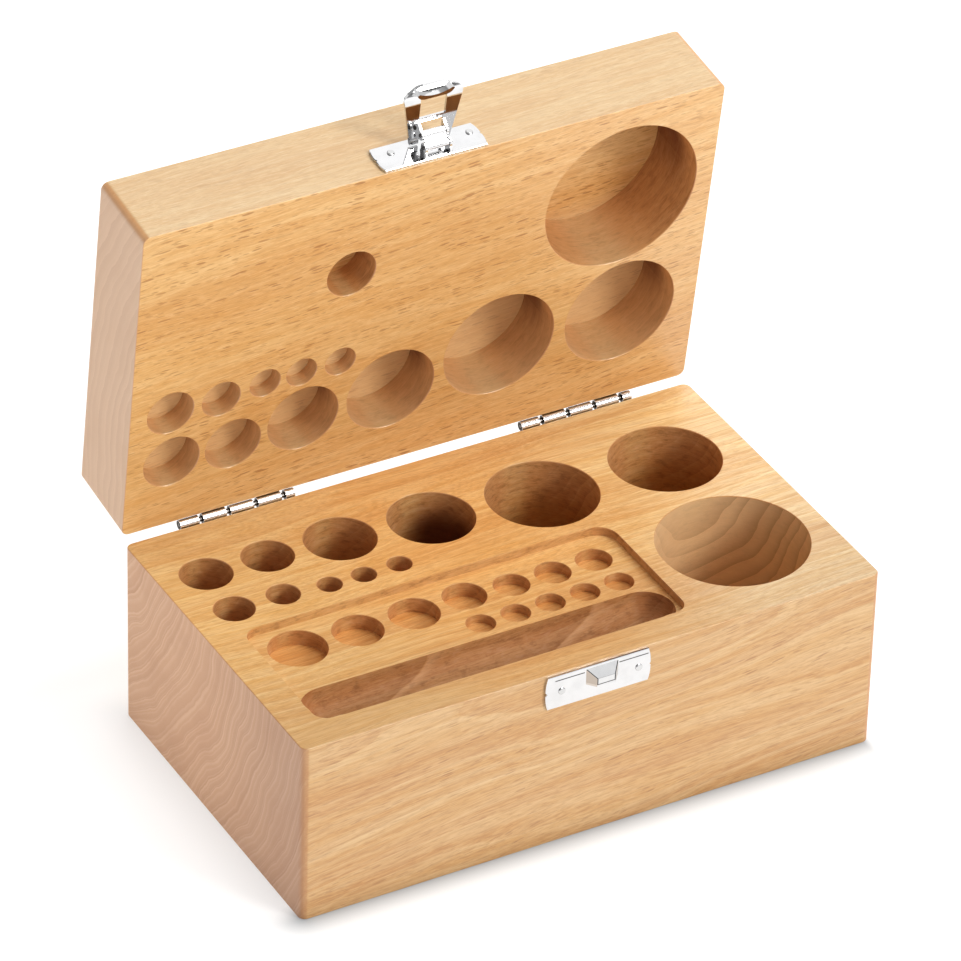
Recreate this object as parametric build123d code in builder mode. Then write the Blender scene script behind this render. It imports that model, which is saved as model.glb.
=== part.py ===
import os
from math import cos, sin, radians

from build123d import *

os.makedirs("parts", exist_ok=True)

# ---------------------------------------------------------------------------
# Driving dimensions, millimetres.
# Frame: origin at the middle of the base block's underside, X along the
# length, -Y is the front with the latch, +Z up.
# ---------------------------------------------------------------------------
LENGTH = 160.0          # both blocks, along X
WIDTH = 94.7            # both blocks, along Y
BASE_H = 51.0           # base block height
LID_T = 22.95           # lid block thickness
SEAM = 0.2              # gap between the closed lid and the base
CORNER_R = 2.0          # vertical corners of both blocks
EDGE_R = 0.25           # eased horizontal edges
RIM_C = 0.12            # broken rim of every pocket

OPEN_ANGLE = 82.16      # how far the lid stands open at rest, degrees
HINGE_Y = WIDTH / 2 + 1.6
HINGE_Z = BASE_H + 0.05

# Gram-weight pockets in the base: x, y, diameter, depth
BASE_POCKETS = {
    "500g": (54.64, -18.71, 38.8, 45.0),
    "200g_a": (57.76, 19.94, 29.0, 36.0),
    "200g_b": (22.62, 20.36, 29.0, 36.0),
    "100g": (-7.06, 23.71, 22.3, 29.0),
    "50g": (-31.39, 25.98, 18.5, 22.5),
    "20g_a": (-50.73, 27.46, 13.4, 17.0),
    "20g_b": (-67.62, 27.51, 13.4, 17.0),
    "10g": (-68.17, 11.38, 10.4, 14.0),
    "5g": (-54.74, 11.43, 8.6, 11.0),
    "2g_a": (-42.74, 9.97, 6.4, 8.5),
    "2g_b": (-33.32, 9.86, 6.4, 8.5),
    "1g": (-23.41, 9.95, 6.4, 6.5),
}

# Matching pockets in the lid's parting face, for the heads of the weights
LID_POCKETS = {
    "500g": (53.68, -19.42, 42.8, 19.5),
    "200g_a": (57.68, 19.01, 31.3, 15.1),
    "200g_b": (23.05, 18.88, 31.2, 15.1),
    "100g": (-7.22, 23.54, 24.4, 12.3),
    "50g": (-31.58, 24.92, 19.6, 10.2),
    "20g_a": (-50.82, 26.79, 15.3, 7.2),
    "20g_b": (-67.66, 26.97, 15.3, 7.2),
    "10g": (-68.98, 10.86, 12.7, 6.2),
    "5g": (-55.17, 10.90, 10.5, 5.2),
    "2g_a": (-43.23, 9.66, 8.4, 4.2),
    "2g_b": (-33.18, 9.53, 8.4, 4.2),
    "1g": (-22.46, 9.53, 8.4, 4.2),
    "knob": (-21.74, -18.27, 13.4, 9.4),
}

# Shallow tray in the base's top, with flat holes for the milligram weights
TRAY_X0, TRAY_X1 = -71.15, 30.8
TRAY_Y0, TRAY_Y1 = -38.65, 2.05
TRAY_D = 2.45
TRAY_R = {"front": 3.8, "back_left": 4.2, "back_right": 5.5}
MG_HOLES = [            # x, y, diameter, depth below the tray floor
    (-60.40, -7.20, 14.8, 4.3),
    (-44.00, -7.20, 12.9, 4.3),
    (-28.50, -7.20, 12.9, 4.2),
    (-14.05, -6.30, 11.1, 4.1),
    (-1.50, -7.35, 9.2, 3.2),
    (10.05, -7.40, 9.2, 3.2),
    (21.75, -7.25, 9.2, 3.2),
    (-16.00, -18.10, 7.4, 2.6),
    (-6.30, -18.15, 7.4, 2.6),
    (3.40, -18.10, 7.4, 2.6),
    (13.10, -18.15, 7.4, 2.6),
    (22.75, -18.10, 7.4, 2.6),
]

# Round-bottomed trough for the tweezers, along the tray's front edge
TROUGH_R = 7.58
TROUGH_Y = -31.28
TROUGH_X0 = -63.82      # centres of its two round ends
TROUGH_X1 = 22.45

# Hinges: two lengths of knuckled strip on the back faces
HINGE_STARTS = {"left": -64.3, "right": 32.2}
KNUCKLES = [(0.0, 5.2), (6.35, 12.75), (13.95, 20.35), (21.6, 28.1), (29.3, 31.8)]
LEAF_T = 0.6
LEAF_FAR = 7.6          # leaf edge, measured from the hinge axis
LEAF_NEAR = 1.75
KNUCKLE_R = 1.3
PIN_R = 0.65
PIN_PLAY = 0.05
NAIL_R = 0.55
NAIL_HEAD_R = 1.15
NAIL_X = (4.0, 16.0, 27.6)
NAIL_OFF = 5.0          # nail line, measured from the hinge axis

# Latch
LATCH_X = 0.2           # middle of the hasp, link and ears along X
PLATE_T = 0.8
PLATE_L = 29.2
PLATE_X = -0.85         # middle of the latch plate
PLATE_Z0, PLATE_Z1 = 51.55, 60.35      # latch plate, lid closed
PLATE_NAILS = [(-10.6, 57.15), (11.0, 57.15)]
KEEPER_X = -0.05
KEEPER_Z0, KEEPER_Z1 = 41.2, 50.6
KEEPER_NAILS = [(-10.25, 45.9), (11.1, 45.9)]
NOSE_X = 0.8            # middle of the keeper's nose
NOSE_N = 3.1            # how far the nose stands out
NOSE_T = 0.6            # its wall
P1_N, P1_Z = 2.6, 54.0                 # plate pivot: out from the face, height
Q_N, Q_Z = 4.8, 56.1                   # hasp pivot, lid closed, hasp raised
LINK_R = 1.05
LINK_HALF = 2.9
TAB_X0, TAB_X1 = 3.05, 3.65            # ears and hasp arms, from the middle
TAB_R = 1.25
LPIN_R = 0.5
HASP_T = 0.65
HASP_OFF = 1.35         # hasp sheet's inner face, from its pivot

FRONT = -WIDTH / 2
COS_O, SIN_O = cos(radians(OPEN_ANGLE)), sin(radians(OPEN_ANGLE))


def opened_dir(x, y, z):
    """A direction given with the lid closed, turned with the open lid."""
    return (x, y * COS_O + z * SIN_O, -y * SIN_O + z * COS_O)


def opened(x, y, z):
    """A point given with the lid closed, moved with the open lid."""
    d = opened_dir(0, y - HINGE_Y, z - HINGE_Z)
    return (x, HINGE_Y + d[1], HINGE_Z + d[2])


def lid_level(z):
    """Plane parallel to the lid's faces, at a height given lid closed."""
    return Plane(origin=opened(0, 0, z), x_dir=(1, 0, 0), z_dir=opened_dir(0, 0, 1))


def lid_front(n):
    """Plane n outside the lid's front face; local x is X, y is closed height."""
    return Plane(origin=opened(0, FRONT - n, 0), x_dir=(1, 0, 0), z_dir=opened_dir(0, -1, 0))


def lid_side(x):
    """Side view plane; local x is the distance out from the front face, y is closed height."""
    return Plane(origin=opened(x, FRONT, 0), x_dir=opened_dir(0, -1, 0), z_dir=(-1, 0, 0))


def lid_cross(z):
    """Plane across the raised hasp; local x is X, y is the distance out."""
    return Plane(origin=opened(0, FRONT, z), x_dir=(1, 0, 0), z_dir=opened_dir(0, 0, -1))


def front(n):
    """Plane n outside the base's front face; local x is X, y is height."""
    return Plane(origin=(0, FRONT - n, 0), x_dir=(1, 0, 0), z_dir=(0, -1, 0))


def side(x):
    """Side view plane of the base's front; local x is the distance out, y is height."""
    return Plane(origin=(x, FRONT, 0), x_dir=(0, -1, 0), z_dir=(-1, 0, 0))


def finish(builder, name):
    builder.part.label = name
    export_step(builder.part, f"parts/{name}.step")


# ---------------------------------------------------------------------------
# Base block
# ---------------------------------------------------------------------------
# The trough's own volume: straight sides above, half round below, round ends.
with BuildPart() as trough_space:
    with BuildSketch(Plane.YZ.offset(TROUGH_X0)):
        with Locations((TROUGH_Y, BASE_H - TRAY_D)):
            Circle(TROUGH_R)
        with Locations((TROUGH_Y, BASE_H - TRAY_D + 3)):
            Rectangle(2 * TROUGH_R, 6)
    extrude(amount=TROUGH_X1 - TROUGH_X0)
    for xc in (TROUGH_X0, TROUGH_X1):
        with BuildSketch(Plane(origin=(xc, TROUGH_Y, BASE_H - TRAY_D), x_dir=(0, 1, 0), z_dir=(1, 0, 0))):
            with BuildLine():
                Polyline((0, -TROUGH_R), (0, 6), (TROUGH_R, 6), (TROUGH_R, 0))
                CenterArc((0, 0), TROUGH_R, 0, -90)
            make_face()
        revolve(axis=Axis((xc, TROUGH_Y, 0), (0, 0, 1)), revolution_arc=360)

with BuildPart() as base_block:
    with BuildSketch(Plane.XY):
        RectangleRounded(LENGTH, WIDTH, CORNER_R)
    extrude(amount=BASE_H)
    fillet(base_block.edges().group_by(Axis.Z)[0] + base_block.edges().group_by(Axis.Z)[-1], EDGE_R)
    for px, py, dia, deep in BASE_POCKETS.values():
        with BuildSketch(Plane.XY.offset(BASE_H)):
            with Locations((px, py)):
                Circle(dia / 2)
        extrude(amount=-deep, mode=Mode.SUBTRACT)
    # tray, its two back corners wider than the front ones
    with BuildSketch(Plane.XY.offset(BASE_H)) as tray:
        with Locations(((TRAY_X0 + TRAY_X1) / 2, (TRAY_Y0 + TRAY_Y1) / 2)):
            Rectangle(TRAY_X1 - TRAY_X0, TRAY_Y1 - TRAY_Y0)
        fillet(tray.vertices().sort_by(Axis.Y)[:2], TRAY_R["front"])
        fillet(tray.vertices().sort_by_distance((TRAY_X0, TRAY_Y1, BASE_H))[0], TRAY_R["back_left"])
        fillet(tray.vertices().sort_by_distance((TRAY_X1, TRAY_Y1, BASE_H))[0], TRAY_R["back_right"])
    extrude(amount=-TRAY_D, mode=Mode.SUBTRACT)
    for mx, my, dia, deep in MG_HOLES:
        with BuildSketch(Plane.XY.offset(BASE_H - TRAY_D)):
            with Locations((mx, my)):
                Circle(dia / 2)
        extrude(amount=-deep, mode=Mode.SUBTRACT)
    add(trough_space.part, mode=Mode.SUBTRACT)
    # broken rims of the round pockets
    chamfer(
        base_block.edges().filter_by(GeomType.CIRCLE).filter_by(
            lambda e: e.is_closed and e.center().Z > BASE_H - TRAY_D - 0.01),
        RIM_C,
    )
    # nail holes of the keeper and of the hinge leaves
    with BuildSketch(front(0)):
        with Locations(*KEEPER_NAILS):
            Circle(NAIL_R + 0.03)
    extrude(amount=-8.2, mode=Mode.SUBTRACT)
    with BuildSketch(Plane(origin=(0, WIDTH / 2, 0), x_dir=(-1, 0, 0), z_dir=(0, 1, 0))):
        with Locations(*[(-(x0 + dx), HINGE_Z - NAIL_OFF) for x0 in HINGE_STARTS.values() for dx in NAIL_X]):
            Circle(NAIL_R + 0.03)
    extrude(amount=-8.2, mode=Mode.SUBTRACT)
finish(base_block, "base_block")

# ---------------------------------------------------------------------------
# Lid block, standing open
# ---------------------------------------------------------------------------
LID_Z0 = BASE_H + SEAM
PARTING = lid_level(LID_Z0)

with BuildPart() as lid_block:
    with BuildSketch(PARTING):
        RectangleRounded(LENGTH, WIDTH, CORNER_R)
    extrude(amount=LID_T)
    lid_levels = lid_block.edges().group_by(lambda e: round(PARTING.to_local_coords(e.center()).Z, 3))
    fillet(lid_levels[0] + lid_levels[-1], EDGE_R)
    for px, py, dia, deep in LID_POCKETS.values():
        with BuildSketch(PARTING):
            with Locations((px, py)):
                Circle(dia / 2)
        extrude(amount=deep, mode=Mode.SUBTRACT)
    chamfer(
        lid_block.edges().filter_by(GeomType.CIRCLE).filter_by(
            lambda e: e.is_closed and abs(PARTING.to_local_coords(e.center()).Z) < 0.01),
        RIM_C,
    )
    with BuildSketch(lid_front(0)):
        with Locations(*PLATE_NAILS):
            Circle(NAIL_R + 0.03)
    extrude(amount=-8.2, mode=Mode.SUBTRACT)
    with BuildSketch(Plane(origin=opened(0, WIDTH / 2, 0), x_dir=(-1, 0, 0), z_dir=opened_dir(0, 1, 0))):
        with Locations(*[(-(x0 + dx), HINGE_Z + NAIL_OFF) for x0 in HINGE_STARTS.values() for dx in NAIL_X]):
            Circle(NAIL_R + 0.03)
    extrude(amount=-8.2, mode=Mode.SUBTRACT)
finish(lid_block, "lid_block")

# ---------------------------------------------------------------------------
# Hinges: each has a base leaf, a lid leaf, a pin and two groups of nails
# ---------------------------------------------------------------------------
def back_face(up):
    """Plane on a back face; local x is -X, y is height from the hinge axis, away from the seam."""
    if up:
        return Plane(origin=opened(0, WIDTH / 2, HINGE_Z), x_dir=(-1, 0, 0), z_dir=opened_dir(0, 1, 0))
    return Plane(origin=(0, WIDTH / 2, HINGE_Z), x_dir=(1, 0, 0), z_dir=(0, 1, 0))


def hinge_leaf(x0, own, up):
    """One leaf with its knuckles; up is True for the lid's leaf."""
    plane = back_face(up)
    sx = -1 if up else 1
    length = KNUCKLES[-1][1]
    with BuildPart() as leaf:
        with BuildSketch(plane):
            with Locations((sx * (x0 + length / 2), (LEAF_NEAR + LEAF_FAR) / 2)):
                Rectangle(length, LEAF_FAR - LEAF_NEAR)
        extrude(amount=LEAF_T)
        for a, b in [KNUCKLES[i] for i in own]:
            with BuildSketch(plane.offset(HINGE_Y - WIDTH / 2 - KNUCKLE_R)):
                with Locations((sx * (x0 + (a + b) / 2), (LEAF_NEAR + 0.3) / 2)):
                    Rectangle(b - a, LEAF_NEAR + 0.3)
            extrude(amount=LEAF_T - 0.2)
            with BuildSketch(Plane(origin=(x0 + a, HINGE_Y, HINGE_Z), x_dir=(0, 1, 0), z_dir=(1, 0, 0))):
                Circle(KNUCKLE_R)
            extrude(amount=b - a)
        with BuildSketch(Plane(origin=(x0 - 1, HINGE_Y, HINGE_Z), x_dir=(0, 1, 0), z_dir=(1, 0, 0))):
            Circle(PIN_R + PIN_PLAY)
        extrude(amount=length + 2, mode=Mode.SUBTRACT)
        with BuildSketch(plane):
            with Locations(*[(sx * (x0 + dx), NAIL_OFF) for dx in NAIL_X]):
                Circle(NAIL_R + 0.05)
        extrude(amount=LEAF_T, mode=Mode.SUBTRACT)
    return leaf


def hinge_nails(x0, up):
    """Three round-headed nails through one leaf."""
    plane = back_face(up)
    sx = -1 if up else 1
    spots = [(sx * (x0 + dx), NAIL_OFF) for dx in NAIL_X]
    with BuildPart() as nails:
        with BuildSketch(plane.offset(-7.5)):
            with Locations(*spots):
                Circle(NAIL_R)
        extrude(amount=7.5 + LEAF_T + 0.1)
        with BuildSketch(plane.offset(LEAF_T)):
            with Locations(*spots):
                Circle(NAIL_HEAD_R)
        extrude(amount=0.45)
        heads = nails.edges().filter_by(GeomType.CIRCLE).filter_by(
            lambda e: abs(plane.to_local_coords(e.center()).Z - LEAF_T - 0.45) < 0.01)
        fillet(heads, 0.35)
    return nails


for side_name, x0 in HINGE_STARTS.items():
    finish(hinge_leaf(x0, (0, 2, 4), False), f"hinge_{side_name}_base_leaf")
    finish(hinge_leaf(x0, (1, 3), True), f"hinge_{side_name}_lid_leaf")
    with BuildPart() as hinge_pin:
        with BuildSketch(Plane(origin=(x0, HINGE_Y, HINGE_Z), x_dir=(0, 1, 0), z_dir=(1, 0, 0))):
            Circle(PIN_R)
        extrude(amount=KNUCKLES[-1][1])
        chamfer(hinge_pin.edges().filter_by(GeomType.CIRCLE), 0.15)
    finish(hinge_pin, f"hinge_{side_name}_pin")
    finish(hinge_nails(x0, False), f"hinge_{side_name}_base_nails")
    finish(hinge_nails(x0, True), f"hinge_{side_name}_lid_nails")


# ---------------------------------------------------------------------------
# Latch plate on the lid and keeper plate on the base
# ---------------------------------------------------------------------------
def plate_outline(cx, z0, z1):
    """Plate with bowed ends and a small nick in the middle of each end."""
    half, mid = PLATE_L / 2, (z0 + z1) / 2
    for s in (-1, 1):
        Line((cx + s * half, mid - 0.45), (cx + s * (half - 0.35), mid))
        Line((cx + s * (half - 0.35), mid), (cx + s * half, mid + 0.45))
        for z, k in ((z0, -1), (z1, 1)):
            ThreePointArc(
                (cx + s * half, mid + k * 0.45),
                (cx + s * (half - 0.12), (mid + k * 0.45 + z) / 2),
                (cx + s * (half - 0.65), z),
            )
    Line((cx - half + 0.65, z0), (cx + half - 0.65, z0))
    Line((cx - half + 0.65, z1), (cx + half - 0.65, z1))


# ears bent out of the latch plate carry the plate pin
with BuildPart() as latch_plate:
    with BuildSketch(lid_front(0)):
        with BuildLine():
            plate_outline(PLATE_X, PLATE_Z0, PLATE_Z1)
        make_face()
    extrude(amount=PLATE_T)
    rim_edges = latch_plate.edges().filter_by(
        lambda e: abs(lid_front(0).to_local_coords(e.center()).Z - PLATE_T) < 0.01)
    chamfer(rim_edges, 0.15)
    for s in (-1, 1):
        with BuildSketch(lid_side(LATCH_X + s * (TAB_X0 + TAB_X1) / 2)):
            with Locations((P1_N, P1_Z)):
                Circle(TAB_R)
            with BuildLine():
                Polyline((0.3, P1_Z - 1.75), (P1_N - 0.9, P1_Z - 1.25), (P1_N, P1_Z - TAB_R), (P1_N, P1_Z + TAB_R),
                         (P1_N - 0.9, P1_Z + 1.25), (0.3, P1_Z + 1.75), close=True)
            make_face()
        extrude(amount=(TAB_X1 - TAB_X0) / 2, both=True)
    with BuildSketch(lid_side(LATCH_X)):
        with Locations((P1_N, P1_Z)):
            Circle(LPIN_R + 0.02)
    extrude(amount=TAB_X1 + 1, both=True, mode=Mode.SUBTRACT)
    with BuildSketch(lid_front(0)):
        with Locations(*PLATE_NAILS):
            Circle(NAIL_R + 0.05)
    extrude(amount=PLATE_T, mode=Mode.SUBTRACT)
finish(latch_plate, "latch_plate")


def plate_nails(plane, spots):
    """Two small nails with low domed heads."""
    with BuildPart() as nails:
        with BuildSketch(plane.offset(-7.5)):
            with Locations(*spots):
                Circle(NAIL_R)
        extrude(amount=7.5 + PLATE_T + 0.1)
        with BuildSketch(plane.offset(PLATE_T)):
            with Locations(*spots):
                Circle(0.95)
        extrude(amount=0.35)
        fillet(nails.edges().filter_by(GeomType.CIRCLE).filter_by(
            lambda e: abs(plane.to_local_coords(e.center()).Z - PLATE_T - 0.35) < 0.01), 0.28)
    return nails


finish(plate_nails(lid_front(0), PLATE_NAILS), "latch_plate_nails")
finish(plate_nails(front(0), KEEPER_NAILS), "keeper_nails")

# The keeper's nose: a hood pressed out of the plate, with sloping sides and a
# sloping top, open at its lower end only.
def hood(inset, back, z_low):
    """The hood's outer shape, or its inside when inset by the wall."""
    top = PLATE_T - inset
    with BuildPart() as shape:
        with BuildSketch(side(NOSE_X)):
            with BuildLine():
                Polyline((back, z_low), (back, 50.05 - 1.5 * inset), (top, 50.05 - 1.5 * inset),
                         (NOSE_N - inset, 48.1 - 0.75 * inset), (NOSE_N - inset, z_low), close=True)
            make_face()
        extrude(amount=6, both=True)
        with BuildSketch(Plane(origin=(NOSE_X, FRONT, 45), x_dir=(1, 0, 0), z_dir=(0, 0, -1))):
            with BuildLine():
                w0, w1 = 4.5 - inset, 2.55 - inset
                Polyline((-w0, back), (-w0, top), (-w1, NOSE_N - inset), (w1, NOSE_N - inset), (w0, top),
                         (w0, back), close=True)
            make_face()
        extrude(amount=8, both=True, mode=Mode.INTERSECT)
    return shape


with BuildPart() as keeper_plate:
    with BuildSketch(front(0)):
        with BuildLine():
            plate_outline(KEEPER_X, KEEPER_Z0, KEEPER_Z1)
        make_face()
    extrude(amount=PLATE_T)
    rim_edges = keeper_plate.edges().filter_by(
        lambda e: abs(front(0).to_local_coords(e.center()).Z - PLATE_T) < 0.01)
    chamfer(rim_edges, 0.15)
    with BuildSketch(front(0)):
        with Locations(*KEEPER_NAILS):
            Circle(NAIL_R + 0.05)
    extrude(amount=PLATE_T, mode=Mode.SUBTRACT)
    add(hood(0, 0.3, 45.7).part)
    # the hollow behind the hood, which also opens the plate
    add(hood(NOSE_T, -0.1, 45.3).part, mode=Mode.SUBTRACT)
finish(keeper_plate, "keeper_plate")

# ---------------------------------------------------------------------------
# Link: two rolled barrels joined by a strip
# ---------------------------------------------------------------------------
with BuildPart() as latch_link:
    with BuildSketch(lid_side(LATCH_X)):
        with Locations((P1_N, P1_Z), (Q_N, Q_Z)):
            Circle(LINK_R)
        with BuildLine():
            Polyline((P1_N - 0.19, P1_Z + 0.19), (Q_N - 0.19, Q_Z + 0.19), (Q_N + 0.19, Q_Z - 0.19),
                     (P1_N + 0.19, P1_Z - 0.19), close=True)
        make_face()
    extrude(amount=LINK_HALF, both=True)
    with BuildSketch(lid_side(LATCH_X)):
        with Locations((P1_N, P1_Z), (Q_N, Q_Z)):
            Circle(LPIN_R + PIN_PLAY)
    extrude(amount=LINK_HALF + 1, both=True, mode=Mode.SUBTRACT)
    chamfer(latch_link.edges().filter_by(GeomType.CIRCLE).filter_by(lambda e: e.radius < 0.8), 0.1)
finish(latch_link, "latch_link")

for pin_name, pn, pz in (("latch_plate_pin", P1_N, P1_Z), ("latch_hasp_pin", Q_N, Q_Z)):
    with BuildPart() as latch_pin:
        with BuildSketch(lid_side(LATCH_X)):
            with Locations((pn, pz)):
                Circle(LPIN_R)
        extrude(amount=TAB_X1 + 0.25, both=True)
        chamfer(latch_pin.edges().filter_by(GeomType.CIRCLE), 0.15)
    finish(latch_pin, pin_name)

# ---------------------------------------------------------------------------
# Hasp: bent sheet with a window for the keeper's nose, a curled finger lip,
# a hooked bar at the window's far edge and two flat arms that reach back
# almost to the latch plate and hold the hasp upright against it.
# It stands straight out from the lid's front face.
# ---------------------------------------------------------------------------
SHEET_Z = Q_Z + HASP_OFF               # inner face of the sheet
ARM_N = 1.3                            # ends of the arms
LIP_N = 13.4                           # where the lip starts to curl
LIP_R = 5.0
LIP_A = 58.0
WIN_N0, WIN_N1 = 8.95, 15.25           # window, out from the lid's face
WIN_HALF = 3.6
GAP_HALF, GAP_N = 3.15, 7.7            # opening between the arms
HOOK_H = 0.75                          # how far the hooked bar stands in

with BuildPart() as latch_hasp:
    with BuildSketch(lid_side(LATCH_X)):
        zi, zo = SHEET_Z, SHEET_Z + HASP_T
        zc = zi + LIP_R                # centre of the lip's curl
        ri, ro = LIP_R, LIP_R - HASP_T
        ca, sa = cos(radians(LIP_A)), sin(radians(LIP_A))
        with BuildLine():
            Line((ARM_N, zi), (LIP_N, zi))
            CenterArc((LIP_N, zc), ri, -90, LIP_A)
            Line((LIP_N + ri * sa, zc - ri * ca), (LIP_N + ro * sa, zc - ro * ca))
            CenterArc((LIP_N, zc), ro, -90, LIP_A)
            Line((LIP_N, zo), (ARM_N, zo))
            Line((ARM_N, zo), (ARM_N, zi))
        make_face()
    extrude(amount=9, both=True)
    with BuildSketch(lid_cross(SHEET_Z + 8)) as outline:
        with BuildLine():
            right = [(5.5, ARM_N - 0.2), (8.05, 15.0), (7.75, 15.7), (6.7, 16.3), (4.4, 16.95), (2.2, 17.4)]
            Polyline(*[(LATCH_X + a, b) for a, b in right], *[(LATCH_X - a, b) for a, b in right[::-1]], close=True)
        make_face()
        fillet(outline.vertices(), 0.45)
    extrude(amount=12, mode=Mode.INTERSECT)
    # window, and the opening between the arms
    with BuildSketch(lid_cross(SHEET_Z + 8)) as gaps:
        with Locations((LATCH_X, (WIN_N0 + WIN_N1) / 2)):
            Rectangle(2 * WIN_HALF, WIN_N1 - WIN_N0)
        with Locations((LATCH_X, GAP_N / 2)):
            Rectangle(2 * GAP_HALF, GAP_N)
    extrude(amount=12, mode=Mode.SUBTRACT)
    # hooked bar, bent inwards along the window's far edge, its ends turned up
    with BuildPart(mode=Mode.PRIVATE) as hook:
        with BuildSketch(lid_cross(SHEET_Z + 3)):
            with BuildLine():
                x_low, n_low, n_end = 3.0, WIN_N1, WIN_N1 + 1.45
                Line((LATCH_X - x_low, n_low), (LATCH_X + x_low, n_low))
                ThreePointArc((LATCH_X + x_low, n_low), (LATCH_X + 4.35, n_low + 0.5), (LATCH_X + 5.1, n_end))
                Line((LATCH_X + 5.1, n_end), (LATCH_X + 4.5, n_end + 0.35))
                ThreePointArc((LATCH_X + 4.5, n_end + 0.35), (LATCH_X, n_low + 0.75), (LATCH_X - 4.5, n_end + 0.35))
                Line((LATCH_X - 4.5, n_end + 0.35), (LATCH_X - 5.1, n_end))
                ThreePointArc((LATCH_X - 5.1, n_end), (LATCH_X - 4.35, n_low + 0.5), (LATCH_X - x_low, n_low))
            make_face()
        extrude(amount=3 + HOOK_H)
        with BuildSketch(lid_side(LATCH_X)):
            with Locations((LIP_N, SHEET_Z + LIP_R)):
                Circle(LIP_R - HASP_T / 2)
        extrude(amount=9, both=True, mode=Mode.SUBTRACT)
    add(hook.part)
    # lugs round the pin
    for s in (-1, 1):
        with BuildSketch(lid_side(LATCH_X + s * (TAB_X0 + TAB_X1) / 2)):
            with Locations((Q_N, Q_Z)):
                Circle(TAB_R)
            with BuildLine():
                Polyline((Q_N - 1.25, Q_Z), (Q_N - 1.9, zi + 0.3), (Q_N + 2.9, zi + 0.3), (Q_N + 2.4, zi),
                         (Q_N + 1.25, Q_Z), close=True)
            make_face()
        extrude(amount=(TAB_X1 - TAB_X0) / 2, both=True)
    with BuildSketch(lid_side(LATCH_X)):
        with Locations((Q_N, Q_Z)):
            Circle(LPIN_R + 0.02)
    extrude(amount=TAB_X1 + 1, both=True, mode=Mode.SUBTRACT)
finish(latch_hasp, "latch_hasp")
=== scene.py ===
from math import cos, sin, radians

import bpy
from mathutils import Matrix, Vector

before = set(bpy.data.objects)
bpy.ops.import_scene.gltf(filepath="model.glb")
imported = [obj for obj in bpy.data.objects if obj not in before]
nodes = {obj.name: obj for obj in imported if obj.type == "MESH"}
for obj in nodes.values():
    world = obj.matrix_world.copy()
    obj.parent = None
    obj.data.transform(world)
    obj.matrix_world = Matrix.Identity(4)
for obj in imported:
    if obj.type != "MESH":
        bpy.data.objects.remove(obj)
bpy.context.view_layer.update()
scene = bpy.context.scene

# ---------------------------------------------------------------------------
# Camera: azimuth, elevation and roll of the photographed view
# ---------------------------------------------------------------------------
AZ, EL, ROLL = radians(-29.801), radians(34.488), radians(1.676)
back = Vector((sin(AZ) * cos(EL), -cos(AZ) * cos(EL), sin(EL)))
right = Vector((cos(AZ), sin(AZ), 0.0))
up = back.cross(right)
right2 = cos(ROLL) * right + sin(ROLL) * up
up2 = -sin(ROLL) * right + cos(ROLL) * up
cam_data = bpy.data.cameras.new("camera")
cam_data.sensor_fit = "HORIZONTAL"
cam_data.sensor_width = 36.0
cam_data.lens = 6798.271 * 36.0 / 961.0
cam_data.clip_start = 0.05
cam_data.clip_end = 100.0
cam = bpy.data.objects.new("camera", cam_data)
scene.collection.objects.link(cam)
turn = Matrix((right2, up2, back)).transposed().to_4x4()
cam.matrix_world = Matrix.Translation(Vector((-0.68373, -1.18180, 1.01225))) @ turn
scene.camera = cam

scene.view_settings.view_transform = "Standard"
scene.view_settings.look = "Medium High Contrast"


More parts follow.
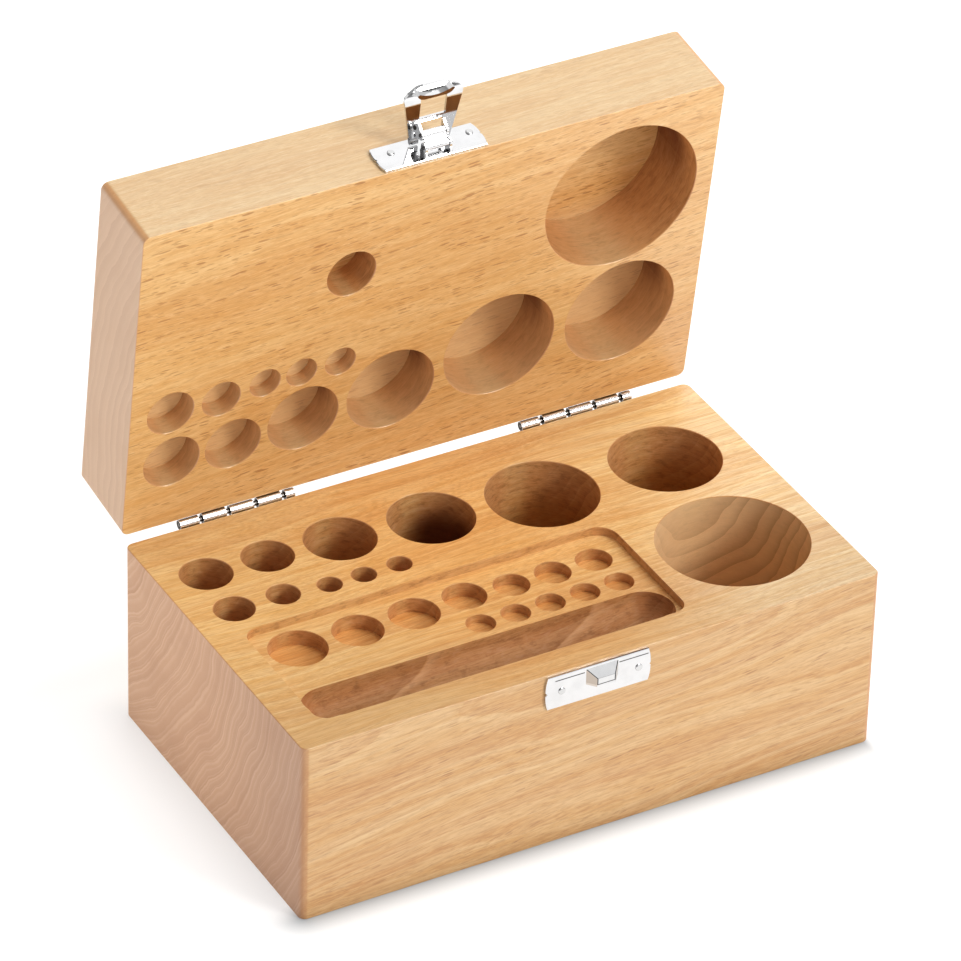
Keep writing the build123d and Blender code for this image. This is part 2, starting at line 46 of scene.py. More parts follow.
# ---------------------------------------------------------------------------
# Small helpers for node trees
# ---------------------------------------------------------------------------
class Tree:
    def __init__(self, name):
        self.mat = bpy.data.materials.new(name)
        self.mat.use_nodes = True
        self.nt = self.mat.node_tree
        self.nt.nodes.clear()

    def node(self, kind, **props):
        n = self.nt.nodes.new(kind)
        for k, v in props.items():
            setattr(n, k, v)
        return n

    def put(self, socket, value):
        if isinstance(value, bpy.types.NodeSocket):
            self.nt.links.new(value, socket)
        else:
            socket.default_value = value

    def math(self, op, a, b=None, c=None, clamp=False):
        n = self.node("ShaderNodeMath", operation=op, use_clamp=clamp)
        self.put(n.inputs[0], a)
        if b is not None:
            self.put(n.inputs[1], b)
        if c is not None:
            self.put(n.inputs[2], c)
        return n.outputs[0]

    def vmath(self, op, a, b=None, scale=None):
        n = self.node("ShaderNodeVectorMath", operation=op)
        self.put(n.inputs[0], a)
        if b is not None:
            self.put(n.inputs[1], b)
        if scale is not None:
            self.put(n.inputs["Scale"], scale)
        return n.outputs["Value"] if op in ("LENGTH", "DOT_PRODUCT", "DISTANCE") else n.outputs["Vector"]

    def xyz(self, x, y, z):
        n = self.node("ShaderNodeCombineXYZ")
        for i, v in enumerate((x, y, z)):
            self.put(n.inputs[i], v)
        return n.outputs[0]

    def sep(self, v):
        n = self.node("ShaderNodeSeparateXYZ")
        self.put(n.inputs[0], v)
        return n.outputs[0], n.outputs[1], n.outputs[2]

    def noise(self, v, detail=2.0, rough=0.5, dims="3D", color=False, scale=1.0, distortion=0.0):
        n = self.node("ShaderNodeTexNoise", noise_dimensions=dims)
        if dims == "1D":
            self.put(n.inputs["W"], v)
        else:
            self.put(n.inputs["Vector"], v)
        n.inputs["Scale"].default_value = scale
        n.inputs["Detail"].default_value = detail
        n.inputs["Roughness"].default_value = rough
        n.inputs["Distortion"].default_value = distortion
        return n.outputs["Color"] if color else n.outputs[0]

    def step(self, v, lo, hi, to_lo=0.0, to_hi=1.0):
        """Smooth step of v from lo to hi."""
        n = self.node("ShaderNodeMapRange", interpolation_type="SMOOTHSTEP", clamp=True)
        self.put(n.inputs["Value"], v)
        for k, x in (("From Min", lo), ("From Max", hi), ("To Min", to_lo), ("To Max", to_hi)):
            self.put(n.inputs[k], x)
        return n.outputs[0]

    def mix(self, fac, a, b, mode="MIX"):
        n = self.node("ShaderNodeMix", data_type="RGBA", blend_type=mode, clamp_factor=True)
        self.put(n.inputs[0], fac)
        for s, v in ((n.inputs[6], a), (n.inputs[7], b)):
            self.put(s, v if isinstance(v, bpy.types.NodeSocket) else (*v, 1.0))
        return n.outputs[2]


def srgb(r, g, b):
    def f(c):
        c /= 255.0
        return c / 12.92 if c <= 0.04045 else ((c + 0.055) / 1.055) ** 2.4
    return f(r), f(g), f(b)


# ---------------------------------------------------------------------------
# Beech: one solid texture per block, so that faces, ends and bored walls all
# cut the same growth rings, fibres and rays
# ---------------------------------------------------------------------------
HINGE = (0.0, 0.04895, 0.05105)


def beech(name, lid, pith, tilt, spacing, look):
    t = Tree(name)
    m = t.math
    tc = t.node("ShaderNodeTexCoord")
    pos, nor = tc.outputs["Object"], tc.outputs["Normal"]
    if lid:
        r1 = t.node("ShaderNodeVectorRotate", rotation_type="X_AXIS")
        t.put(r1.inputs["Vector"], pos)
        r1.inputs["Center"].default_value = HINGE
        r1.inputs["Angle"].default_value = radians(82.16)
        pos = r1.outputs[0]
        r2 = t.node("ShaderNodeVectorRotate", rotation_type="X_AXIS")
        t.put(r2.inputs["Vector"], nor)
        r2.inputs["Angle"].default_value = radians(82.16)
        nor = r2.outputs[0]
    pos = t.vmath("SCALE", pos, scale=1000.0)
    px, py, pz = t.sep(pos)
    nx, ny, nz = t.sep(nor)
    anx, any_, anz = m("ABSOLUTE", nx), m("ABSOLUTE", ny), m("ABSOLUTE", nz)

    # grain runs along X, a little off it
    x = px
    y = m("ADD", py, m("MULTIPLY", px, tilt[0]))
    z = m("ADD", pz, m("MULTIPLY", px, tilt[1]))
    s = look["seed"]

    def stretched(sx, sy, sz, off=0.0):
        return t.xyz(m("MULTIPLY_ADD", x, 1.0 / sx, s + off), m("MULTIPLY_ADD", y, 1.0 / sy, s * 0.7 + off),
                     m("MULTIPLY_ADD", z, 1.0 / sz, off))

    w1 = t.sep(t.noise(stretched(85, 26, 26), 1.0, color=True))
    w2 = t.sep(t.noise(stretched(160, 7.5, 7.5, 3.1), 1.5, color=True))
    w3 = t.sep(t.noise(stretched(13, 3.6, 3.6, 7.3), 1.0, color=True))

    def bent(i):
        a = m("MULTIPLY", m("SUBTRACT", w1[i], 0.5), look["warp"])
        a = m("ADD", a, m("MULTIPLY", m("SUBTRACT", w2[i], 0.5), look["ripple"]))
        return m("ADD", a, m("MULTIPLY", m("SUBTRACT", w3[i], 0.5), look["wavy"]))

    wy, wz = bent(0), bent(1)
    ry = m("SUBTRACT", m("ADD", y, wy), pith[0])
    rz = m("SUBTRACT", m("ADD", z, wz), pith[1])
    r = m("SQRT", m("ADD", m("MULTIPLY", ry, ry), m("MULTIPLY", rz, rz)))
    ang = m("MULTIPLY", m("ARCTAN2", rz, ry), look["radius"])

    # growth rings, unevenly spaced
    rr = m("ADD", m("MULTIPLY", r, 1.0 / spacing), m("MULTIPLY", t.noise(m("MULTIPLY", r, 1 / 13.0), 2.0, dims="1D"), 2.2))
    ring = m("FRACT", rr)
    wn = t.node("ShaderNodeTexWhiteNoise", noise_dimensions="1D")
    t.put(wn.inputs["W"], m("FLOOR", rr))
    ring_rand = wn.outputs["Value"]
    band = m("MULTIPLY", m("POWER", ring, 1.6), m("MULTIPLY_ADD", ring_rand, 0.6, 0.4))
    line = m("MULTIPLY", t.step(ring, 0.0, 0.05), t.step(ring, 0.22, 0.07))

    # soft long streaks, fine fibres, slow tone changes
    def fibre(sx, sr, st, off, detail, rough=0.5):
        return t.noise(t.xyz(m("MULTIPLY_ADD", x, 1.0 / sx, off), m("MULTIPLY", r, 1.0 / sr), m("MULTIPLY_ADD", ang, 1.0 / st, off)), detail, rough)

    streak = fibre(look["streak"], 1.5, 2.6, 1.7 + s, 2.5, 0.55)
    fine = fibre(11, 0.30, 0.34, 5.3 + s, 2.0, 0.6)
    short = fibre(3.2, 0.26, 0.30, 3.9 + s, 2.0, 0.65)
    tone = fibre(150, 11, 15, 9.1 + s, 1.5)

    # rays: short dark dashes where the face is tangential, weak flat flecks
    # where it is radial
    inv_r = m("DIVIDE", 1.0, m("MAXIMUM", r, 1.0))
    radial = m("ABSOLUTE", m("ADD", m("MULTIPLY", ny, m("MULTIPLY", ry, inv_r)), m("MULTIPLY", nz, m("MULTIPLY", rz, inv_r))))

    def dashes(length, width, slant, off, lo, hi, keep):
        vo = t.node("ShaderNodeTexVoronoi", voronoi_dimensions="3D", feature="F1", distance="EUCLIDEAN")
        a2 = m("ADD", ang, m("MULTIPLY", x, slant))
        t.put(vo.inputs["Vector"], t.xyz(m("MULTIPLY_ADD", x, 1 / length, off), m("MULTIPLY", a2, 1 / width), m("MULTIPLY_ADD", r, 1 / 14.0, off)))
        vo.inputs["Scale"].default_value = 1.0
        vo.inputs["Randomness"].default_value = 1.0
        cell = t.sep(vo.outputs["Color"])
        size = m("MULTIPLY_ADD", m("POWER", cell[0], 1.5), hi - lo, lo)
        d = t.step(m("SUBTRACT", vo.outputs["Distance"], size), 0.06, -0.06)
        return m("MULTIPLY", d, t.step(cell[1], keep, keep + 0.25))

    ray = m("MAXIMUM", dashes(*look["dash"]), m("MULTIPLY", dashes(*look["dash2"]), 0.7))
    clump = t.step(fibre(30, 3.0, 5.0, 2.2 + s, 1.5), 0.34, 0.60, 0.30, 1.0)
    ray = m("MULTIPLY", m("MULTIPLY", ray, clump), t.step(radial, 0.45, 0.92, look["weak"], 1.0))
    # pores
    pore = t.step(fibre(1.6, 0.11, 0.11, 7.7, 1.0), 0.64, 0.78)

    # where a face crosses the grain
    end = t.step(anx, 0.35, 0.95)
    turn_ = m("MULTIPLY", t.step(anx, 0.10, 0.35), t.step(anx, 0.98, 0.80))

    col = t.mix(t.step(streak, 0.30, 0.72), look["light"], look["mid"])
    col = t.mix(m("MULTIPLY", t.step(tone, 0.42, 0.72), look["tone"]), col, look["deep"])
    col = t.mix(m("MULTIPLY", band, look["band"]), col, look["deep"])
    col = t.mix(m("MULTIPLY", line, look["line"]), col, look["pale"])
    col = t.mix(m("MULTIPLY", t.step(fine, 0.40, 0.72), look["fine"]), col, look["dark"])
    col = t.mix(m("MULTIPLY", t.step(fine, 0.50, 0.26), look["fine"]), col, look["pale"])
    col = t.mix(m("MULTIPLY", t.step(short, 0.50, 0.78), look["short"]), col, look["dark"])
    col = t.mix(m("MULTIPLY", t.step(short, 0.46, 0.22), look["short"]), col, look["pale"])
    col = t.mix(m("MULTIPLY", ray, look["rays"]), col, look["ray_dark"])
    col = t.mix(m("MULTIPLY", pore, 0.25), col, look["dark"])

    # ends: pinkish, ring lines a little lighter than the wood between them
    speck = t.noise(t.xyz(m("MULTIPLY", x, 1 / 6.0), m("MULTIPLY", r, 1 / 0.35), m("MULTIPLY", ang, 1 / 0.10)), 2.0)
    ecol = t.mix(band, look["end_light"], look["end_dark"])
    ecol = t.mix(m("MULTIPLY", line, look["end_line"]), ecol, look["end_pale"])
    half = m("FRACT", m("ADD", m("MULTIPLY", rr, 2.0), m("MULTIPLY", t.noise(m("MULTIPLY", r, 1 / 5.0), 1.0, dims="1D"), 0.7)))
    line2 = m("MULTIPLY", t.step(half, 0.0, 0.12), t.step(half, 0.42, 0.14))
    ecol = t.mix(m("MULTIPLY", line2, m("MULTIPLY", look["end_line"], 0.65)), ecol, look["end_pale"])
    ecol = t.mix(m("MULTIPLY", t.step(speck, 0.45, 0.75), 0.22), ecol, look["end_dark"])
    ecol = t.mix(m("MULTIPLY", t.step(tone, 0.40, 0.75), 0.35), ecol, look["end_dark"])
    if lid:
        # painted sheen: the face with the latch plate is washed paler, plainer and bluer
        painted_pale = t.step(ny, -0.90, -0.985)
        col = t.mix(m("MULTIPLY", painted_pale, 0.20), col, look["painted_pale"])
        col = t.mix(painted_pale, col, (0.955, 1.04, 1.20), "MULTIPLY")
    col = t.mix(end, col, ecol)
    col = t.mix(m("MULTIPLY", turn_, look["corner"]), col, look["corner_col"])

    # bored and milled walls: browner and rougher than the planed faces; the browner tint is partly the wood and partly
    # painted shade
    inside = m("MULTIPLY", t.step(m("ABSOLUTE", px), 79.6, 79.2), t.step(m("ABSOLUTE", py), 46.9, 46.5))
    zlo, zhi = look["solid"]
    if lid:
        inside = m("MULTIPLY", inside, t.step(pz, zlo + 0.22, zlo + 0.34))
    else:
        inside = m("MULTIPLY", inside, t.step(pz, zhi - 0.22, zhi - 0.34))
    inside = m("MULTIPLY", inside, m("MULTIPLY", t.step(pz, zlo + 0.1, zlo + 0.2), t.step(pz, zhi - 0.1, zhi - 0.2)))
    wall = m("MULTIPLY", inside, t.step(anz, 0.9993, 0.985))
    if lid:
        trough, deep_floor = 0.0, 1.0
    else:
        # the round-bottomed trough, milled across the tray's front
        trough = m("MULTIPLY", t.step(pz, 48.52, 48.40), m("MULTIPLY", t.step(py, -23.4, -23.9), t.step(pz, 0.1, 0.2)))
        trough = m("MULTIPLY", trough, m("MULTIPLY", t.step(px, 31.0, 30.6), t.step(py, -39.2, -38.95)))
        trough = m("MULTIPLY", trough, t.step(px, -71.8, -71.5))
        wall = m("MAXIMUM", wall, trough)
        deep_floor = t.step(pz, 48.45, 48.25)
    scrape = t.noise(t.xyz(m("MULTIPLY", px, 1 / 2.5), m("MULTIPLY", py, 1 / 2.5), m("MULTIPLY", pz, 1 / 0.22)), 2.0)
    wcol = t.mix(end, col, t.mix(m("MULTIPLY", band, 0.8), look["bore_light"], look["bore_dark"]))
    wcol = t.mix(m("MULTIPLY", m("MULTIPLY", line, end), 0.35), wcol, look["bore_line"])
    wcol = t.mix(1.0, wcol, look["wall"], "MULTIPLY")
    wcol = t.mix(0.38, wcol, look["wall_soft"])
    wcol = t.mix(m("MULTIPLY", t.step(scrape, 0.45, 0.75), 0.22), wcol, look["wall_dark"])
    wcol = t.mix(m("MULTIPLY", t.step(scrape, 0.48, 0.25), 0.16), wcol, look["wall_pale"])
    mottle = t.noise(t.xyz(m("MULTIPLY_ADD", px, 1 / 3.2, s), m("MULTIPLY", py, 1 / 3.2), m("MULTIPLY", pz, 1 / 1.5)), 3.0, 0.65)
    wcol = t.mix(m("MULTIPLY", t.step(mottle, 0.50, 0.72), look["mottle"]), wcol, look["wall_dark"])
    wcol = t.mix(m("MULTIPLY", t.step(mottle, 0.48, 0.28), look["mottle"]), wcol, look["wall_pale"])
    if not lid:
        wcol = t.mix(trough, wcol, look["trough"], "MULTIPLY")
        # growth rings that cross the trough at a slant
        q = m("MULTIPLY", m("SUBTRACT", px, m("MULTIPLY", py, 3.2)), 1 / 46.0)
        q = m("FRACT", m("ADD", q, m("MULTIPLY", t.noise(m("MULTIPLY", px, 1 / 18.0), 1.5, dims="1D"), 0.16)))
        wcol = t.mix(m("MULTIPLY", trough, m("MULTIPLY", m("POWER", q, 2.5), 0.24)), wcol, look["wall_dark"])
        q = m("MULTIPLY", t.step(q, 0.0, 0.02), t.step(q, 0.13, 0.03))
        wcol = t.mix(m("MULTIPLY", trough, m("MULTIPLY", q, 0.26)), wcol, look["wall_pale"])
        # painted light and shade: the wood is a little lighter and more orange towards the back left, where the open
        # lid shades it, and darker towards the front
        col = t.mix(1.0, col, t.mix(t.step(py, -54.0, 14.0), look["shade_front"], look["shade_back"]), "MULTIPLY")
        # painted sheen: the top face is tinted across X, paler and bluer to the right and more orange in the middle
        painted_top_sheen = t.mix(t.step(px, -52.0, -14.0), (1.02, 1.06, 1.08), (1.06, 1.01, 0.92))
        painted_top_sheen = t.mix(t.step(px, 6.0, 58.0), painted_top_sheen, (1.11, 1.26, 1.46))
        upper = m("MULTIPLY", t.step(anz, 0.97, 0.999), t.step(pz, 48.0, 48.4))
        col = t.mix(upper, col, painted_top_sheen, "MULTIPLY")
        # painted light: the large pocket's walls are lightened,
        big = t.vmath("DISTANCE", t.xyz(px, py, 0.0), (54.64, -18.71, 0.0))
        big = t.step(big, 24.0, 21.0)
        wcol = t.mix(m("MULTIPLY", big, 0.64), wcol, look["painted_big_pocket_light"])
        # with its rings cut as arcs on the right-hand wall
        arcs = m("MULTIPLY", big, t.step(px, 44.0, 60.0, 0.35, 1.0))
        wcol = t.mix(m("MULTIPLY", arcs, m("MULTIPLY", m("POWER", ring, 2.0), 0.30)), wcol, look["wall_dark"])
        wcol = t.mix(m("MULTIPLY", arcs, m("MULTIPLY", line, 0.30)), wcol, look["wall_pale"])
        # painted shade: the other deep pockets darken towards their right and their bottom
        painted_well_shade = m("MULTIPLY", t.step(pz, 46.0, 32.0), t.step(nx, 0.60, -0.70))
        painted_well_shade = m("MULTIPLY", painted_well_shade, m("SUBTRACT", 1.0, m("MAXIMUM", big, trough)))
        wcol = t.mix(painted_well_shade, wcol, (1.0, 0.93, 0.60), "MULTIPLY")
        wcol = t.mix(m("MULTIPLY", painted_well_shade, 0.24), wcol, look["painted_well_shade"])
        # painted shade: the 100 g pocket darkens further deep down and on its right
        hundred = t.step(t.vmath("DISTANCE", t.xyz(px, py, 0.0), (-7.06, 23.71, 0.0)), 13.5, 11.8)
        hundred = m("MULTIPLY", hundred, m("MULTIPLY", t.step(pz, 49.5, 40.0), t.step(nx, 0.50, -0.50)))
        wcol = t.mix(m("MULTIPLY", hundred, 0.82), wcol, look["painted_well_shade"])
    else:
        # painted light: lid pockets on the hinge half (y above about 0 mm) are lightened, walls and floors
        painted_pocket_light = m("MULTIPLY", t.step(py, -4.0, 3.0), inside)
        col = t.mix(m("MULTIPLY", painted_pocket_light, 0.45), col, look["painted_pale"])
        wcol = t.mix(m("MULTIPLY", painted_pocket_light, 0.25), wcol, look["painted_pale"])
        # painted shade: the right-hand and upper walls of the lid's pockets darken with depth
        painted_well_shade = m("MULTIPLY", t.step(pz, 53.0, 61.5), m("MULTIPLY", t.step(nx, 0.25, -0.75), t.step(ny, -0.70, 0.30)))
        wcol = t.mix(m("MULTIPLY", painted_well_shade, 0.72), wcol, look["painted_well_shade"])
    col = t.mix(wall, col, wcol)
    floor_ = m("MULTIPLY", m("MULTIPLY", inside, deep_floor), t.step(anz, 0.985, 0.9993))
    col = t.mix(m("MULTIPLY", floor_, look["floor"]), col, look["floor_col"], "MULTIPLY")

    bsdf = t.node("ShaderNodeBsdfPrincipled")
    t.put(bsdf.inputs["Base Color"], col)
    rough = m("MULTIPLY_ADD", streak, 0.12, 0.30)
    rough = m("ADD", rough, m("MULTIPLY", wall, 0.22))
    t.put(bsdf.inputs["Roughness"], m("ADD", rough, m("MULTIPLY", end, 0.12)))
    t.put(bsdf.inputs["Specular IOR Level"], m("MULTIPLY_ADD", wall, -0.7, 1.0))
    bump = t.node("ShaderNodeBump")
    bump.inputs["Strength"].default_value = 0.35
    bump.inputs["Distance"].default_value = 0.00008
    h = m("ADD", m("MULTIPLY", short, 0.6), m("MULTIPLY", ray, -0.7))
    h = m("ADD", h, m("MULTIPLY", pore, -0.8))
    h = m("ADD", h, m("MULTIPLY", m("MULTIPLY", scrape, wall), 1.2))
    h = m("ADD", h, m("MULTIPLY", m("MULTIPLY", speck, end), 0.5))
    t.put(bump.inputs["Height"], h)
    t.put(bsdf.inputs["Normal"], bump.outputs[0])
    out = t.node("ShaderNodeOutputMaterial")
    t.nt.links.new(bsdf.outputs[0], out.inputs["Surface"])
    return t.mat


base_look = dict(
    seed=0.0, warp=9.0, ripple=1.6, wavy=0.5, streak=70.0, radius=120.0, weak=0.15,
    dash=(6.5, 0.50, 0.02, 0.0, 0.14, 0.34, 0.35), dash2=(3.8, 0.34, -0.02, 5.0, 0.12, 0.32, 0.30),
    light=srgb(240, 206, 154), mid=srgb(229, 183, 120), deep=srgb(208, 148, 88), dark=srgb(166, 108, 58),
    ray_dark=srgb(162, 104, 54), pale=srgb(248, 220, 174), tone=0.45, band=0.42, line=0.24, fine=0.28, short=0.30, rays=0.45,
    end_light=srgb(222, 176, 141), end_dark=srgb(206, 155, 118), end_pale=srgb(236, 198, 170), end_line=0.55,
    corner=0.60, corner_col=srgb(210, 152, 100), solid=(0.0, 51.0),
    shade_front=srgb(225, 219, 213), shade_back=srgb(255, 250, 239), trough=srgb(222, 212, 212),
    wall=srgb(255, 246, 228), wall_soft=srgb(196, 152, 108), painted_big_pocket_light=srgb(242, 214, 172), painted_well_shade=srgb(82, 22, 2),
    wall_dark=srgb(120, 72, 34), wall_pale=srgb(228, 188, 146),
    bore_light=srgb(212, 164, 116), bore_dark=srgb(184, 130, 82), bore_line=srgb(226, 182, 136),
    floor=0.40, floor_col=srgb(250, 212, 154), mottle=0.34,
)
lid_look = dict(
    base_look, seed=17.0, warp=6.0, ripple=1.0, wavy=1.1, streak=38.0, radius=130.0, weak=0.22,
    dash=(5.2, 0.62, 0.03, 0.0, 0.16, 0.38, 0.10), dash2=(3.2, 0.46, 0.05, 5.0, 0.15, 0.36, 0.15),
    light=srgb(230, 190, 132), mid=srgb(222, 173, 109), deep=srgb(207, 150, 86), dark=srgb(170, 112, 56),
    ray_dark=srgb(162, 102, 44), tone=0.40, band=0.20, line=0.08, fine=0.20, short=0.36, rays=0.66,
    end_light=srgb(226, 188, 154), end_dark=srgb(214, 173, 138), end_line=0.22, solid=(51.2, 74.15),
    wall=srgb(255, 250, 236), wall_soft=srgb(204, 160, 114), painted_pale=srgb(236, 208, 168), floor=0.0, mottle=0.22,
)
wood_base = beech("beech_base", False, (97.0, 89.0), (0.012, -0.085), 3.6, base_look)
wood_lid = beech("beech_lid", True, (22.0, -78.0), (0.085, 0.012), 3.2, lid_look)


def nickel(name, color, rough, grain, kind=""):
    t = Tree(name)
    m = t.math
    tc = t.node("ShaderNodeTexCoord")
    pos = t.vmath("SCALE", tc.outputs["Object"], scale=1000.0)
    cloud = t.noise(t.vmath("SCALE", pos, scale=0.22), 2.0, 0.5)
    x, y, z = t.sep(pos)
    fine = t.noise(t.xyz(m("MULTIPLY", x, 0.6), m("MULTIPLY", y, 7.0), m("MULTIPLY", z, 7.0)), 2.0, 0.6)
    bsdf = t.node("ShaderNodeBsdfPrincipled")
    bsdf.inputs["Metallic"].default_value = 1.0
    dull = tuple(c * 0.93 for c in color)
    col = t.mix(t.step(cloud, 0.35, 0.72), color, dull)
    col = t.mix(m("MULTIPLY", t.step(fine, 0.5, 0.8), grain), col, tuple(c * 0.7 for c in color))
    if kind == "hinge":
        # painted shade: the leaves are dark close to the knuckles, where the
        # gaps between the knuckles lie in shade
        away = t.vmath("LENGTH", t.xyz(0.0, m("SUBTRACT", y, 48.95), m("SUBTRACT", z, 51.05)))
        painted_gap_shade = m("MULTIPLY", t.step(away, 1.36, 1.46), t.step(away, 3.2, 2.4))
        painted_gap_shade = m("MAXIMUM", painted_gap_shade, t.step(away, 1.24, 1.10))
        col = t.mix(painted_gap_shade, col, (0.055, 0.042, 0.034))
    elif kind == "keeper":
        # painted shadow and reflection: thin dark lines under the turned top edge and along the nose
        u, n = m("ABSOLUTE", m("SUBTRACT", x, 0.8)), m("SUBTRACT", -47.35, y)

        def near(v, at, half):
            return t.step(m("ABSOLUTE", m("SUBTRACT", v, at)), half + 0.06, half - 0.06)

        painted_dark_lines = m("MULTIPLY", near(z, 49.25, 0.13), m("MULTIPLY", t.step(u, 4.7, 4.9), t.step(u, 13.2, 12.6)))
        rise = t.step(n, 0.86, 0.92)
        flank = m("MULTIPLY_ADD", m("SUBTRACT", n, 0.8), -0.848, 4.5)
        rim_ = near(m("SUBTRACT", u, flank), -0.14, 0.13)
        painted_dark_lines = m("MAXIMUM", painted_dark_lines, m("MULTIPLY", m("MULTIPLY", rim_, rise), t.step(z, 46.2, 46.3)))
        painted_dark_lines = m("MAXIMUM", painted_dark_lines, m("MULTIPLY", near(z, 46.35, 0.11), m("MULTIPLY", rise, t.step(u, 2.62, 2.55))))
        painted_dark_lines = m("MAXIMUM", painted_dark_lines, m("MULTIPLY", m("MULTIPLY", near(z, 48.08, 0.05), rise), 0.45))
        col = t.mix(m("MULTIPLY", painted_dark_lines, 0.93), col, (0.02, 0.02, 0.02))
        # painted shade: the sloping cheeks of the nose are tinted brownish
        cheek = m("MULTIPLY", rise, t.step(m("ABSOLUTE", t.sep(tc.outputs["Normal"])[0]), 0.35, 0.6))
        col = t.mix(m("MULTIPLY", cheek, 0.6), col, (0.52, 0.42, 0.33))
    t.put(bsdf.inputs["Base Color"], col)
    t.put(bsdf.inputs["Roughness"], m("MULTIPLY_ADD", cloud, 0.03, rough))
    bump = t.node("ShaderNodeBump")
    bump.inputs["Strength"].default_value = 0.5
    bump.inputs["Distance"].default_value = 0.000012
    t.put(bump.inputs["Height"], cloud)
    if kind == "hasp":
        # the sheet is dished by a few degrees, so it mirrors the wood below
        dish = t.node("ShaderNodeBump")
        dish.inputs["Strength"].default_value = 1.0
        dish.inputs["Distance"].default_value = 0.001
        t.put(dish.inputs["Height"], m("MULTIPLY", z, 0.09))
        t.put(dish.inputs["Normal"], bump.outputs[0])
        t.put(bsdf.inputs["Normal"], dish.outputs[0])
    else:
        t.put(bsdf.inputs["Normal"], bump.outputs[0])
    out = t.node("ShaderNodeOutputMaterial")
    t.nt.links.new(bsdf.outputs[0], out.inputs["Surface"])
    return t.mat


bright = nickel("nickel_sheet", (0.74, 0.74, 0.745), 0.05, 0.10)
hasp_mat = nickel("nickel_hasp", (0.74, 0.74, 0.745), 0.05, 0.10, "hasp")
hinge_mat = nickel("nickel_hinge", (0.72, 0.695, 0.685), 0.20, 0.15, "hinge")
keeper_mat = nickel("nickel_keeper", (0.74, 0.74, 0.745), 0.05, 0.10, "keeper")
nail_mat = nickel("nickel_nail", (0.66, 0.66, 0.66), 0.09, 0.15)
# steel pins, darkened as painted shade in the gaps between the knuckles
wire = nickel("steel_wire", (0.16, 0.15, 0.145), 0.25, 0.30)

for name, obj in nodes.items():
    if name == "base_block":
        mat = wood_base
    elif name == "lid_block":
        mat = wood_lid
    elif name.endswith("_pin"):
        mat = wire
    elif "nails" in name:
        mat = nail_mat
    elif name == "latch_hasp":
        mat = hasp_mat
    elif name == "keeper_plate":
        mat = keeper_mat
    elif name.startswith("hinge") and "leaf" in name:
        mat = hinge_mat
    else:
        mat = bright
    obj.data.materials.clear()
    obj.data.materials.append(mat)

# ---------------------------------------------------------------------------
# Floor, light
# ---------------------------------------------------------------------------
floor_mesh = bpy.data.meshes.new("floor")
floor_mesh.from_pydata([(-30, -30, 0), (30, -30, 0), (30, 30, 0), (-30, 30, 0)], [], [(0, 1, 2, 3)])
floor = bpy.data.objects.new("floor", floor_mesh)
scene.collection.objects.link(floor)
ft = Tree("floor_paper")
ftc = ft.node("ShaderNodeTexCoord")
fn = ft.noise(ftc.outputs["Object"], 3.0, scale=6.0)
fb = ft.node("ShaderNodeBsdfPrincipled")
# painted contact shadow: the paper's glow fades and its colour turns a cool grey where the case stands on it
fx, fy, fz = ft.sep(ftc.outputs["Object"])
weight = ft.step(fy, -0.040, -0.048, 0.20, 1.0)
left_ = ft.math("MAXIMUM", ft.math("SUBTRACT", ft.math("MULTIPLY", fx, -1.0), 0.0785), 0.0)
right_ = ft.math("MULTIPLY", ft.math("MAXIMUM", ft.math("SUBTRACT", fx, 0.0780), 0.0), 3.0)
fy = ft.math("MAXIMUM", ft.math("SUBTRACT", ft.math("ABSOLUTE", fy), 0.0458), 0.0)
off = ft.vmath("LENGTH", ft.xyz(ft.math("ADD", left_, right_), fy, 0.0))
painted_contact_shadow = ft.math("POWER", ft.math("MULTIPLY_ADD", off, -1 / 0.013, 1.0, clamp=True), 1.8)
painted_contact_shadow = ft.math("MULTIPLY", painted_contact_shadow, weight)
paper = ft.mix(fn, (0.54, 0.54, 0.54), (0.56, 0.56, 0.56))
ft.put(fb.inputs["Base Color"], ft.mix(ft.math("MULTIPLY", painted_contact_shadow, 0.75), paper, (0.22, 0.25, 0.28)))
fb.inputs["Roughness"].default_value = 0.9
fb.inputs["Emission Color"].default_value = (1.0, 1.0, 1.0, 1.0)
ft.put(fb.inputs["Emission Strength"], ft.math("MULTIPLY_ADD", painted_contact_shadow, -0.52, 0.55))
fb.inputs["Specular IOR Level"].default_value = 0.0
fo = ft.node("ShaderNodeOutputMaterial")
ft.nt.links.new(fb.outputs[0], fo.inputs["Surface"])
floor_mesh.materials.append(ft.mat)

world = bpy.data.worlds.new("studio")
scene.world = world
world.use_nodes = True
wt = world.node_tree
wt.nodes.clear()
wtc = wt.nodes.new("ShaderNodeTexCoord")


def lobe(direction, lo, hi):
    """Smooth patch of the surroundings about a direction, 1 at its middle."""
    dot = wt.nodes.new("ShaderNodeVectorMath")
    dot.operation = "DOT_PRODUCT"
    wt.links.new(wtc.outputs["Generated"], dot.inputs[0])
    dot.inputs[1].default_value = Vector(direction).normalized()
    step = wt.nodes.new("ShaderNodeMapRange")
    step.interpolation_type = "SMOOTHSTEP"
    wt.links.new(dot.outputs["Value"], step.inputs["Value"])
    step.inputs["From Min"].default_value = lo
    step.inputs["From Max"].default_value = hi
    return step.outputs[0]


def scaled(op, a, b, c=0.0):
    n = wt.nodes.new("ShaderNodeMath")
    n.operation = op
    for s, v in zip(n.inputs, (a, b, c)):
        if isinstance(v, bpy.types.NodeSocket):
            wt.links.new(v, s)
        else:
            s.default_value = v
    return n.outputs[0]


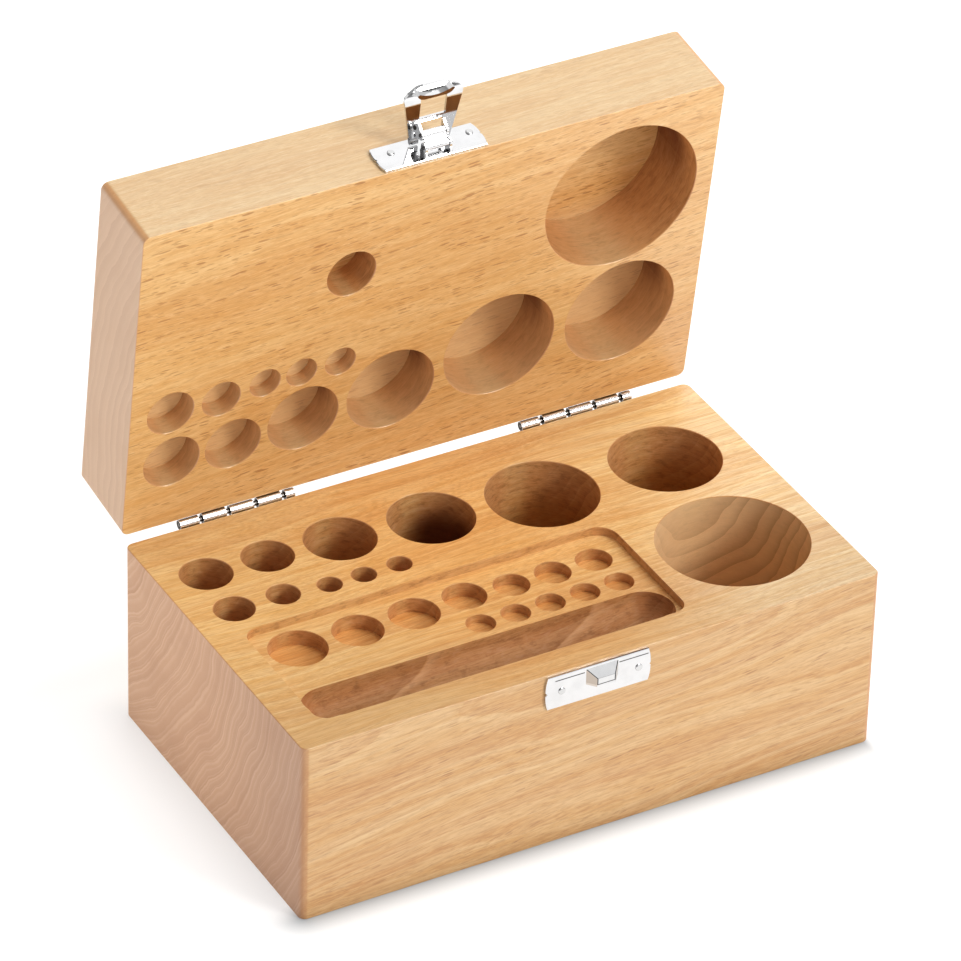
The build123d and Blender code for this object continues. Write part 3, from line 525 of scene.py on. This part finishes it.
# pale tent of panels with dark gaps between them, a bright panel behind and
# above, a wide pale front, and a dark gap above the camera
panels = wt.nodes.new("ShaderNodeVectorMath")
panels.operation = "DOT_PRODUCT"
wt.links.new(wtc.outputs["Generated"], panels.inputs[0])
panels.inputs[1].default_value = (9.0, 5.0, 4.0)
edge = wt.nodes.new("ShaderNodeMapRange")
edge.interpolation_type = "SMOOTHSTEP"
wt.links.new(scaled("SINE", scaled("ADD", panels.outputs["Value"], -1.9), 0.0), edge.inputs["Value"])
edge.inputs["From Min"].default_value = -0.3
edge.inputs["From Max"].default_value = 0.3
walls = scaled("MULTIPLY_ADD", edge.outputs[0], 0.62, 0.03)
tent = scaled("MULTIPLY_ADD", lobe((0.41, 0.68, 0.60), 0.80, 0.97), 0.20, walls)
tent = scaled("MULTIPLY_ADD", lobe((0.35, 0.75, 0.55), 0.1, 0.95), 0.25, tent)
tent = scaled("MULTIPLY_ADD", lobe((0.35, -0.90, 0.20), 0.2, 0.95), 0.25, tent)
gap = scaled("SUBTRACT", 1.0, scaled("MULTIPLY", lobe((0.41, -0.82, 0.40), 0.972, 0.990), 0.97))
bg = wt.nodes.new("ShaderNodeBackground")
bg.inputs["Color"].default_value = (1.0, 1.0, 1.0, 1.0)
wt.links.new(scaled("MULTIPLY", tent, gap), bg.inputs["Strength"])
wo = wt.nodes.new("ShaderNodeOutputWorld")
wt.links.new(bg.outputs[0], wo.inputs["Surface"])


def area(name, loc, target, size, power, color=(1, 1, 1)):
    data = bpy.data.lights.new(name, "AREA")
    data.shape = "RECTANGLE"
    data.size, data.size_y = size
    data.energy = power
    data.color = color
    ob = bpy.data.objects.new(name, data)
    scene.collection.objects.link(ob)
    ob.location = loc
    d = Vector(target) - Vector(loc)
    ob.rotation_euler = d.to_track_quat("-Z", "Y").to_euler()
    return ob


area("key_top", (0.50, -0.10, 1.90), (0, 0, 0.06), (0.7, 0.7), 9.0, (1.0, 0.99, 0.97))
area("key_front", (0.90, -1.50, 1.10), (0, 0, 0.06), (0.6, 0.6), 16.0, (1.0, 0.985, 0.96))
